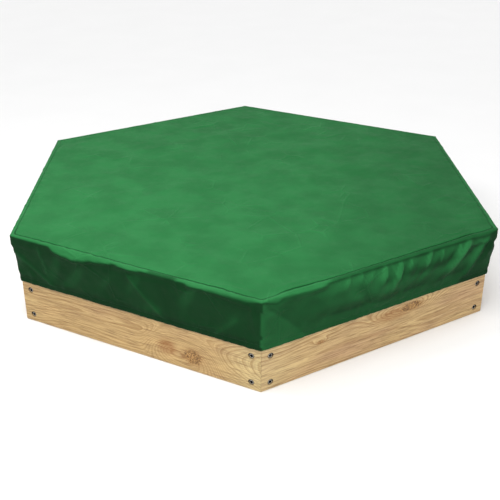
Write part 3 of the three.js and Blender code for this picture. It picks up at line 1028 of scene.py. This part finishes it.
def split_piece(whole, name, keep_faces):
    """A copy of some of a mesh's faces, with their attributes, as a piece of its own."""
    piece = linked_object(name, whole.copy())
    piece.data.name = name
    net = bmesh.new()
    net.from_mesh(piece.data)
    extra = [face for face, keep in zip(net.faces, keep_faces) if not keep]
    bmesh.ops.delete(net, geom=extra, context="FACES")
    net.to_mesh(piece.data)
    net.free()
    return piece


def make_cover():
    points, faces, cut, reach = cover_net()
    net = mesh_object("cover", points, faces)
    set_attribute(net.data, "reach", reach)
    net.data.uv_layers.new(name="cut").data.foreach_set("uv", np.array(cut, np.float32).ravel())
    fine = net.modifiers.new("fine", "SUBSURF")
    fine.levels = fine.render_levels = 1
    data = evaluated_mesh(net)
    bpy.data.objects.remove(net)
    fine_reach = np.zeros(len(data.vertices), np.float32)
    data.attributes["reach"].data.foreach_get("value", fine_reach)
    set_attribute(data, "shade", shape_cover(data, fine_reach))

    corners = np.zeros(len(data.loops), np.int32)
    data.loops.foreach_get("vertex_index", corners)
    face_reach = fine_reach[corners].reshape(-1, 4).mean(1)
    fabric = fabric_material("coated_fabric")
    top = split_piece(data, "cover_top_panel", face_reach < -SEAM)
    skirt = split_piece(data, "cover_skirt", face_reach >= -SEAM)
    for piece in (top, skirt):
        piece.data.materials.append(fabric)
        thicken(piece, FABRIC_THICKNESS)
        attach(piece, "cover")
    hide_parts("cover_top")
    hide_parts(*[f"cover_skirt_{name}" for name in WALLS])

    return skirt


# ---------------- the hem's elastic and the ground sheet

ELASTIC_APOTHEM = HEM_APOTHEM - 0.0029
ELASTIC_HALF_THICKNESS = 0.0004
TAPE_PITCH = 0.003  # of the ground sheet's weave
TAPE_BLACK = (0.012, 0.012, 0.013)
TAPE_GREY = (0.035, 0.035, 0.036)
DUST = (0.16, 0.13, 0.09)
GROUND_SHEET_THICKNESS = 0.0006
GROUND_SHEET_RINGS = 44
GROUND_SHEET_GAP = 0.001  # to the walls


def make_elastic():
    """The flat elastic inside the hem channel, eased round the corners as the hem is."""
    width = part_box("hem_elastic")[1].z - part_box("hem_elastic")[0].z
    unit = hexagon_ring(PER_SIDE)
    unit = 0.75 * unit + 0.125 * (np.roll(unit, 1, 0) + np.roll(unit, -1, 0))
    low = HEM_CENTRE_HEIGHT + 0.0012 + hem_lift()
    apothem = ELASTIC_APOTHEM + 0.0001 * ripples(unit * ELASTIC_APOTHEM, 0.03, 61)[:, None]
    corners = ((1, width), (1, 0), (-1, 0), (-1, width))
    rows = [np.c_[unit * (apothem + side * ELASTIC_HALF_THICKNESS), low + height] for side, height in corners]
    faces = band_faces(len(rows), AROUND, closed=True)
    band = mesh_object("hem_elastic_band", np.concatenate(rows), faces, [elastic_material()])
    band.data.shade_flat()
    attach(band, "cover")
    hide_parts("hem_elastic")


def ground_sheet_material():
    sheet = material_nodes("ground_sheet")
    x, y, _ = sheet.split(sheet.place)
    tapes = x.wave(TAPE_PITCH) * y.wave(TAPE_PITCH)
    dust = sheet.noise(sheet.place, 14.0, 5.0, 0.6)
    colour = sheet.mix(tapes.scaled(-1.0, 1.0), TAPE_BLACK, TAPE_GREY)
    colour = sheet.mix(dust.scaled(0.45, 0.8, 0.0, 0.35), colour, DUST)
    roughness = dust.scaled(0.3, 0.7, 0.55, 0.85)
    return sheet.surface(base_color=colour, roughness=roughness, normal=sheet.bump(tapes, 0.0003, 0.8))


def make_ground_sheet():
    """The woven sheet under the sand, lying a little unevenly inside the walls."""
    apothem, rings = WALL_INNER - GROUND_SHEET_GAP, GROUND_SHEET_RINGS
    flat, apothems = hexagon_lattice(apothem / rings, rings)
    rise = 0.0035 * np.clip(0.45 + 0.5 * ripples(flat, 0.22, 71) + 0.15 * ripples(flat, 0.08, 72), 0, 1.6)
    z = 0.0009 + rise * smooth_step(apothem - apothems, 0.08, 0.16)
    sheet = mesh_object("ground_sheet", np.c_[flat, z], lattice_faces(rings), [ground_sheet_material()])
    thicken(sheet, GROUND_SHEET_THICKNESS)
    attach(sheet, "frame")
    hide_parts("ground_liner")


# ---------------- bolts and screws

STEEL_GREY = (0.48, 0.47, 0.455)
STEEL_PALE = (0.66, 0.65, 0.62)
STEEL_GRIME = (0.16, 0.14, 0.12)
SOCKET_SHADE_BLACK = (0.002, 0.002, 0.002)
SOCKET_SHADE_GRIME = (0.012, 0.011, 0.010)


def socket_material():
    # painted shade, with grime: the socket is painted near black as the shadow inside it, mottled by grime
    socket = material_nodes("socket_shade_and_grime")
    grime = socket.noise(socket.place, 500.0, 3.0)
    colour = socket.mix(grime, SOCKET_SHADE_BLACK, SOCKET_SHADE_GRIME)
    normal = socket.bump(grime, 0.0002, 0.6)
    return socket.surface(base_color=colour, roughness=0.9, specular_ior_level=0.08, normal=normal)


def steel_material():
    steel = material_nodes("zinc_plated_steel")
    mottle = steel.noise(steel.place, 260.0, 4.0, 0.6)
    grime = steel.noise(steel.place, 60.0, 3.0)
    colour = steel.mix(mottle.scaled(0.3, 0.7), STEEL_GREY, STEEL_PALE)
    colour = steel.mix(grime.scaled(0.45, 0.7, 0.0, 0.5), colour, STEEL_GRIME)
    roughness, normal = mottle.scaled(0.3, 0.7, 0.28, 0.5), steel.bump(mottle, 0.0001, 0.5)
    return steel.surface(base_color=colour, metallic=0.85, roughness=roughness, normal=normal)


ROUND = 48  # points round a bolt or a screw
ROUND_TURN = np.arange(ROUND) / ROUND * 2 * math.pi
BOLT_RADIUS = 0.004
BOLT_HEAD_RADIUS = 0.007
BOLT_HEAD_HEIGHT = 0.0048
SOCKET_FLATS = 0.0080
SOCKET_RIM = 0.0012
SOCKET_DEPTH = 0.003
SPIN_STEP = 37  # degrees from one bolt's turn to the next one's, over seven bolts at a time
X, Z = 0, 2  # axes


def turned_mesh(name, axis, rings, socket_from, materials):
    """A round solid of rings, each (radius, place along the axis). From socket_from on, it takes the second
    material: the socket's painted shade, with grime.
    """
    unit = np.c_[np.cos(ROUND_TURN), np.sin(ROUND_TURN)]
    points = [level_ring(unit, np.reshape(radius, (-1, 1)), place) for radius, place in rings]
    last = (len(rings) - 1) * ROUND
    faces = [face[::-1] for face in band_faces(len(rings), ROUND)]
    faces += [tuple(range(ROUND))[::-1], tuple(range(last, last + ROUND))]
    data = new_mesh(name, np.roll(np.concatenate(points), axis + 1, 1), faces, materials)
    in_socket = [int(number // ROUND >= socket_from) for number in range(last)] + [0, 1]
    data.polygons.foreach_set("material_index", in_socket)
    data.set_sharp_from_angle(angle=math.radians(32))
    return data


def bolt_mesh(length, materials):
    """A hexagon-socket bolt along +X, with the underside of its head at the origin."""
    hexagon = SOCKET_FLATS / 2 / np.cos((ROUND_TURN + HALF_TURN) % (2 * HALF_TURN) - HALF_TURN)
    r, h = BOLT_HEAD_RADIUS, BOLT_HEAD_HEIGHT
    rings = [
        (BOLT_RADIUS - 0.001, -length),
        (BOLT_RADIUS, -length + 0.001),
        (BOLT_RADIUS, 0.0),
        (r - 0.0002, 0.0),
        (r, 0.0002),
        (r, h - 0.0012),
        (r - 0.0004, h - 0.0004),
        (r - 0.0010, h),
        (SOCKET_FLATS / 2 + SOCKET_RIM, h),
        (hexagon, h - 0.0005),
        (hexagon, h - SOCKET_DEPTH),
        (0.0004, h - SOCKET_DEPTH - 0.0008),
    ]
    return turned_mesh("bolt", X, rings, 8, materials)


def make_bolts(materials):
    """Each lower board's bolts, and the same ones a course higher, which the CAD leaves to the looks."""
    data = bolt_mesh(BOLT_OUTER - BOLT_INNER - BOLT_HEAD_HEIGHT, materials)
    number = 0
    for node in sorted(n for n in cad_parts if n.startswith("bolt_")):
        name = node.removeprefix("bolt_")
        wall = WALLS.index(name.split("_at_")[0])
        middle = 0.5 * sum(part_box(node), Vector())
        end = math.copysign(1, middle.dot(Vector(on_wall(wall, 0, 1, 0))))
        for course, lift in (("lower", 0.0), ("upper", UPPER_BOARD_LIFT)):
            bolt = linked_object(f"{course}_bolt_{name}", data)
            bolt.location = on_wall(wall, BOLT_OUTER - BOLT_HEAD_HEIGHT, end * LOW_BOLT.y, middle.z + lift)
            bolt.rotation_euler = (math.radians(SPIN_STEP * ((number + 3) % 7)), 0, wall_angle(wall))
            number += 1
            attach(bolt, "frame")
            if course == "lower":
                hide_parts(node)


SCREW_INSETS = (0.035, 0.110)  # in from the seat's outer edge
SCREW_FROM_END = 0.060


def screw_mesh(materials):
    """A countersunk screw's head, flush in the seat, with a star recess, along +Z from the seat's top."""
    star = 0.0017 + 0.0004 * np.cos(6 * ROUND_TURN)
    rings = [
        (0.0046, 0.0),
        (0.0044, 0.00025),
        (0.0040, 0.00035),
        (star + 0.0003, 0.00035),
        (star, 0.00025),
        (star * 0.92, 0.00005),
    ]
    return turned_mesh("screw", Z, rings, 3, materials)


def make_seat_screws(materials):
    """Two screws at each end of each seat, into the posts and the boards below."""
    head = screw_mesh(materials)
    for wall, name in enumerate(WALLS):
        for end, side in ((-1, "left"), (1, "right")):
            for number, inset in enumerate(SCREW_INSETS):
                apothem = SEAT_APOTHEM - inset
                along = end * (apothem * math.tan(HALF_TURN) - SCREW_FROM_END)
                screw = linked_object(f"seat_screw_{name}_{side}_{number}", head)
                screw.location = on_wall(wall, apothem, along, SEAT_TOP + 0.00002)
                screw.rotation_euler = (0, 0, 0.9 * wall + 0.7 * number + 0.4 * end)
                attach(screw, "frame")


# ---------------- stitches

STITCH_PITCH = 0.0050
STITCH_LENGTH = 0.0038
STITCH_RADIUS = 0.00045
# A stitch's sections: (place along it, width, rise), as shares of its length and radius.
STITCH_SECTIONS = [(-0.5, 0.25, -0.5), (-0.30, 0.9, 0.45), (0.30, 0.9, 0.45), (0.5, 0.25, -0.5)]
TOPSTITCH = 0.0040  # outside the seam
RAY_START = 0.05  # off the fabric
RAY_LENGTH = 0.12


def stitch_row(name, hits, normals, thread):
    """A row of thread stitches, lying along a closed line of points on the fabric."""
    around = np.roll(hits, -1, 0) - np.roll(hits, 1, 0)
    along = around / np.linalg.norm(around, axis=1)[:, None]
    out = normals - (normals * along).sum(1)[:, None] * along
    out /= np.linalg.norm(out, axis=1)[:, None]
    side = np.cross(along, out)
    rings = []
    for place, width, rise in STITCH_SECTIONS:
        middle = hits + along * place * STITCH_LENGTH + out * (rise * STITCH_RADIUS)
        for a, b in ((1, 0), (0, 1), (-1, 0), (0, -1)):
            rings.append(middle + side * (a * width * STITCH_RADIUS) + out * (b * width * STITCH_RADIUS))
    points = np.stack(rings, 1)
    faces = []
    for first in range(0, points.shape[0] * points.shape[1], points.shape[1]):
        faces += [face[::-1] for face in band_faces(4, 4, first)]
        faces += [(first + 3, first + 2, first + 1, first), (first + 12, first + 13, first + 14, first + 15)]
    row = mesh_object(name, points.reshape(-1, 3), faces, [thread])
    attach(row, "cover")


def make_stitches(skirt):
    """Stitches on the seam's allowance, and along the top of the hem channel."""
    data = skirt.data
    surface = BVHTree.FromPolygons(positions(data).tolist(), [tuple(face.vertices) for face in data.polygons])
    unit = hexagon_ring(round(EDGE_SIDE / STITCH_PITCH))
    half = 0.5 * (unit + np.roll(unit, -1, 0))
    seam_apothem, above = EDGE_APOTHEM - SEAM + TOPSTITCH, FABRIC_TOP + RAY_START
    hem_height = HEM_CENTRE_HEIGHT + DROPS[-1] - HEM_TOP + 0.0012
    outside = EDGE_APOTHEM + RAY_START
    rays = {
        "seam_stitches": [((x * seam_apothem, y * seam_apothem, above), (0, 0, -1)) for x, y in half],
        "hem_stitches": [((x * outside, y * outside, hem_height), (-x, -y, 0)) for x, y in half],
    }
    for (name, lines), green in zip(rays.items(), (THREAD_GREEN, HEM_THREAD_GREEN)):
        hits, normals = [], []
        for start, way in lines:
            way = Vector(way).normalized()
            hit, normal, _, _ = surface.ray_cast(Vector(start), way, RAY_LENGTH)
            if hit is not None:
                hits.append(hit)
                normals.append(normal if normal.dot(way) < 0 else -normal)
        stitch_row(name, np.array(hits), np.array(normals), thread_material(f"{name}_thread", green))


# ---------------- floor, lights and world

FLOOR_HALF = 40
FLOOR_HEIGHT = -0.0005
FLOOR_GREYS = (0.83, 0.83, 0.83), (0.86, 0.86, 0.86)


def make_floor():
    corners = [(x * FLOOR_HALF, y * FLOOR_HALF, 0) for x, y in ((-1, -1), (1, -1), (1, 1), (-1, 1))]
    pale = material_nodes("pale_floor")
    colour = pale.mix(pale.noise(pale.place, 3.0, 2.0), *FLOOR_GREYS)
    surface = pale.surface(base_color=colour, roughness=0.8, specular_ior_level=0.2)
    floor = mesh_object("floor", corners, [(0, 1, 2, 3)], [surface])
    floor.location.z = FLOOR_HEIGHT


def add_light(name, kind, place, target, strength, **settings):
    data = bpy.data.lights.new(name, kind)
    data.energy = strength
    for setting, value in settings.items():
        setattr(data, setting, value)
    light = linked_object(name, data)
    light.location = place
    aim(light, Vector(target) - light.location)


def make_lights():
    """A white room that is dimmer overhead, a broad sun, and three soft lamps."""
    room = Nodes(bpy.data.worlds.new("studio"), "Background", "Generated")
    upward = room.split(room.place)[2]
    bpy.context.scene.world = room.surface(color=(1, 1, 1), strength=upward.scaled(0.10, 0.55, 1.0, 0.46))
    add_light("overhead", "SUN", (-0.5, -0.9, 3.0), (0, 0, 0), 1.9, angle=math.radians(40))
    for name, place, target, width, height, power in (
        ("key", (-0.75, -0.50, 1.80), (-0.60, -0.42, 0.3), 0.7, 0.7, 17),
        ("fill", (1.9, -3.0, 1.1), (0.3, -0.5, 0.15), 1.8, 1.2, 16),
        ("front", (0.0, -1.9, 1.2), (0.0, -0.85, 0.2), 0.6, 0.6, 5),
    ):
        add_light(name, "AREA", place, target, power, shape="RECTANGLE", size=width, size_y=height)
    view = bpy.context.scene.view_settings
    view.view_transform = "Standard"
    view.look = "None"


# ---------------- the scene

add_camera()
make_floor()
make_lights()
paint_timber()
fastener_materials = [steel_material(), socket_material()]
make_bolts(fastener_materials)
make_seat_screws(fastener_materials)
make_ground_sheet()
make_elastic()
make_stitches(make_cover())
